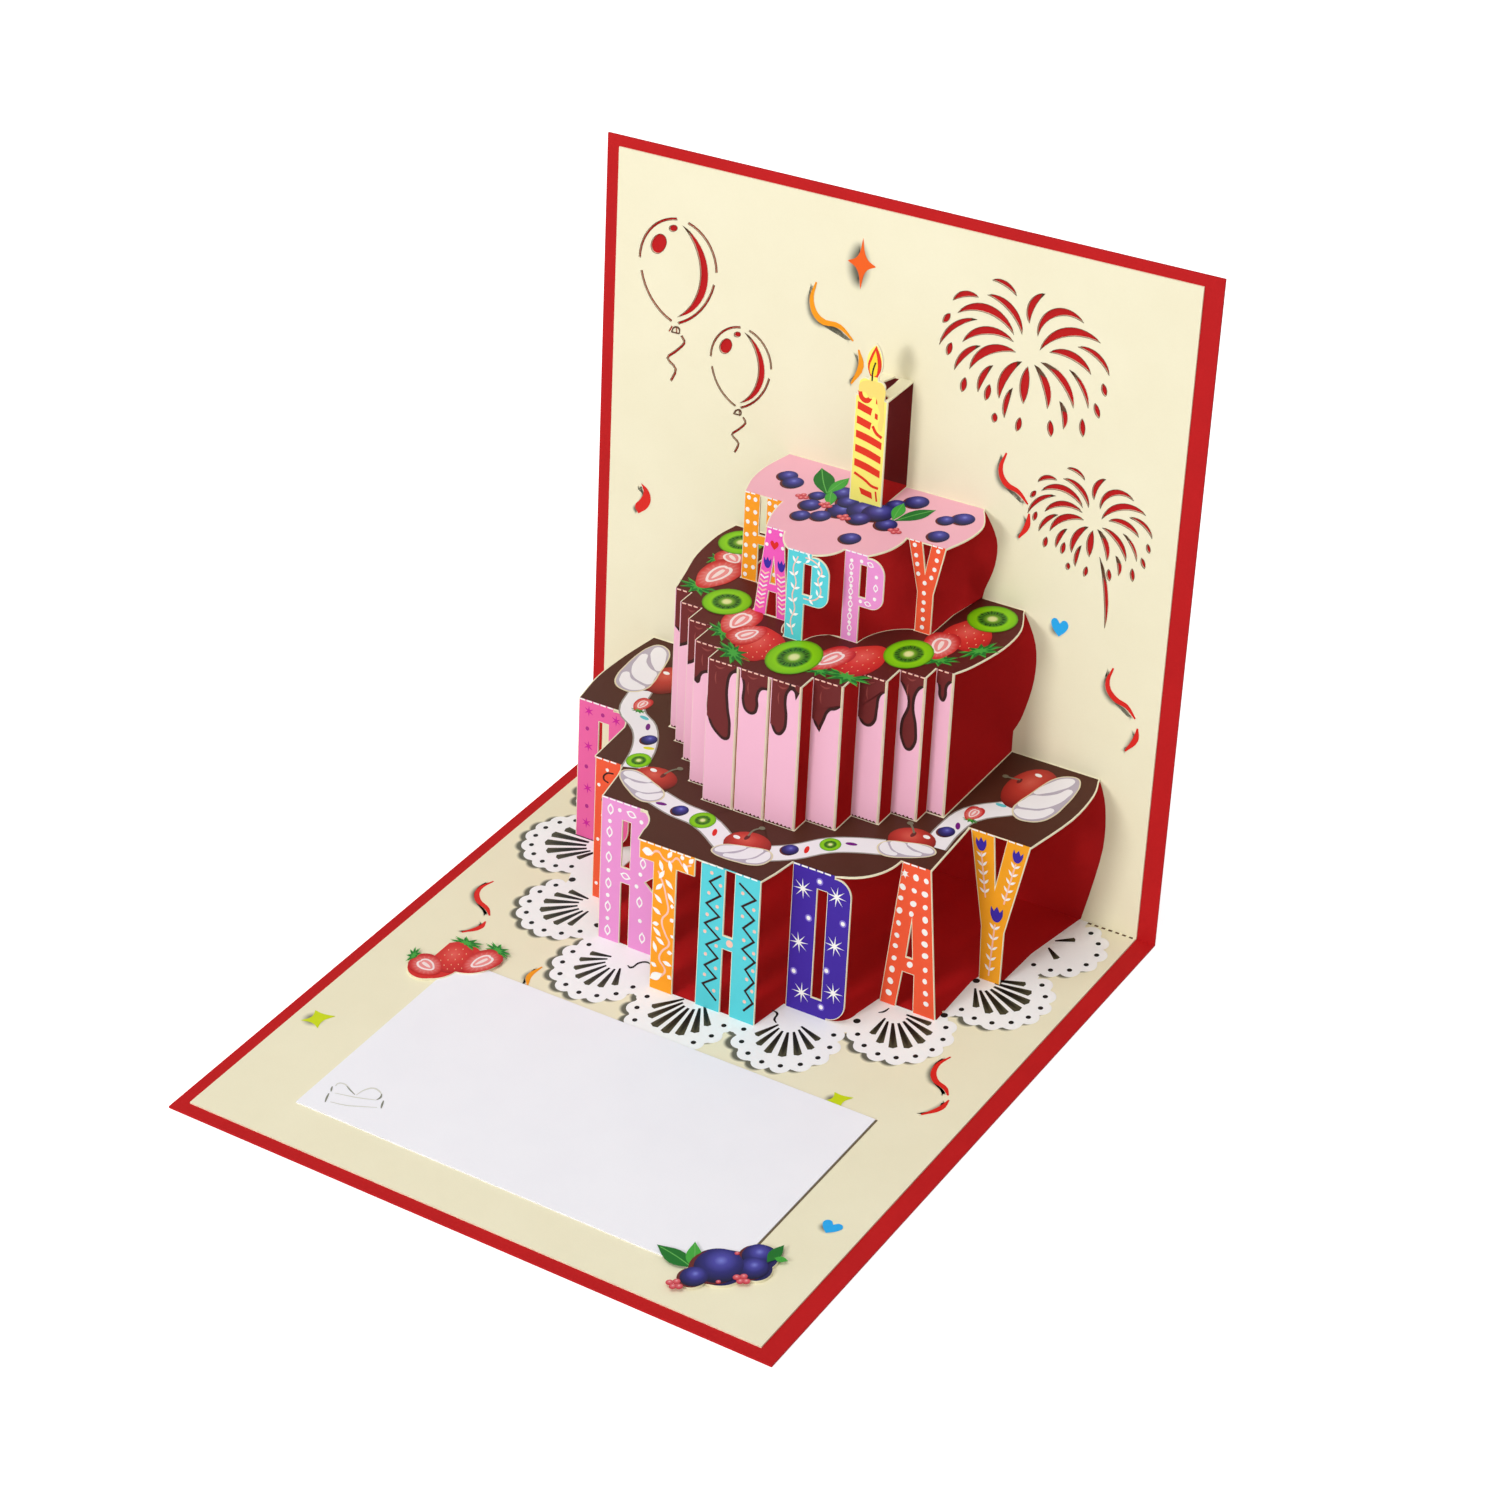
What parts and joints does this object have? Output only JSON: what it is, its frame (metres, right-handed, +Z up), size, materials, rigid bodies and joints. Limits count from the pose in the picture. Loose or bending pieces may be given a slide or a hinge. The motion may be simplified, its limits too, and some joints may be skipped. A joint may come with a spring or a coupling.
{
  "type": "pop up card",
  "caption": "Open pop up greeting card: a red folded cover with a printed die-cut sheet inside that folds out into a tiered cake with letter fronts, and a loose note card.",
  "frame": {"origin": "centre of the bounding box on the ground, under the floor panel", "axes": "+X along the crease to the right, +Y from the front edge towards the wall panel, +Z up"},
  "size_m": [0.15, 0.1758, 0.1487],
  "materials": {
    "red_card": "matt, dyed through, faint paper grain",
    "printed_card": "matt cream card, printed in colour on its upper face, pale cut edges",
    "note_paper": "smooth matt white paper"
  },
  "bodies": {
    "root": {"cover": "red_card", "pop_up_sheet": "printed_card", "note_card": "note_paper"}
  },
  "joints": []
}
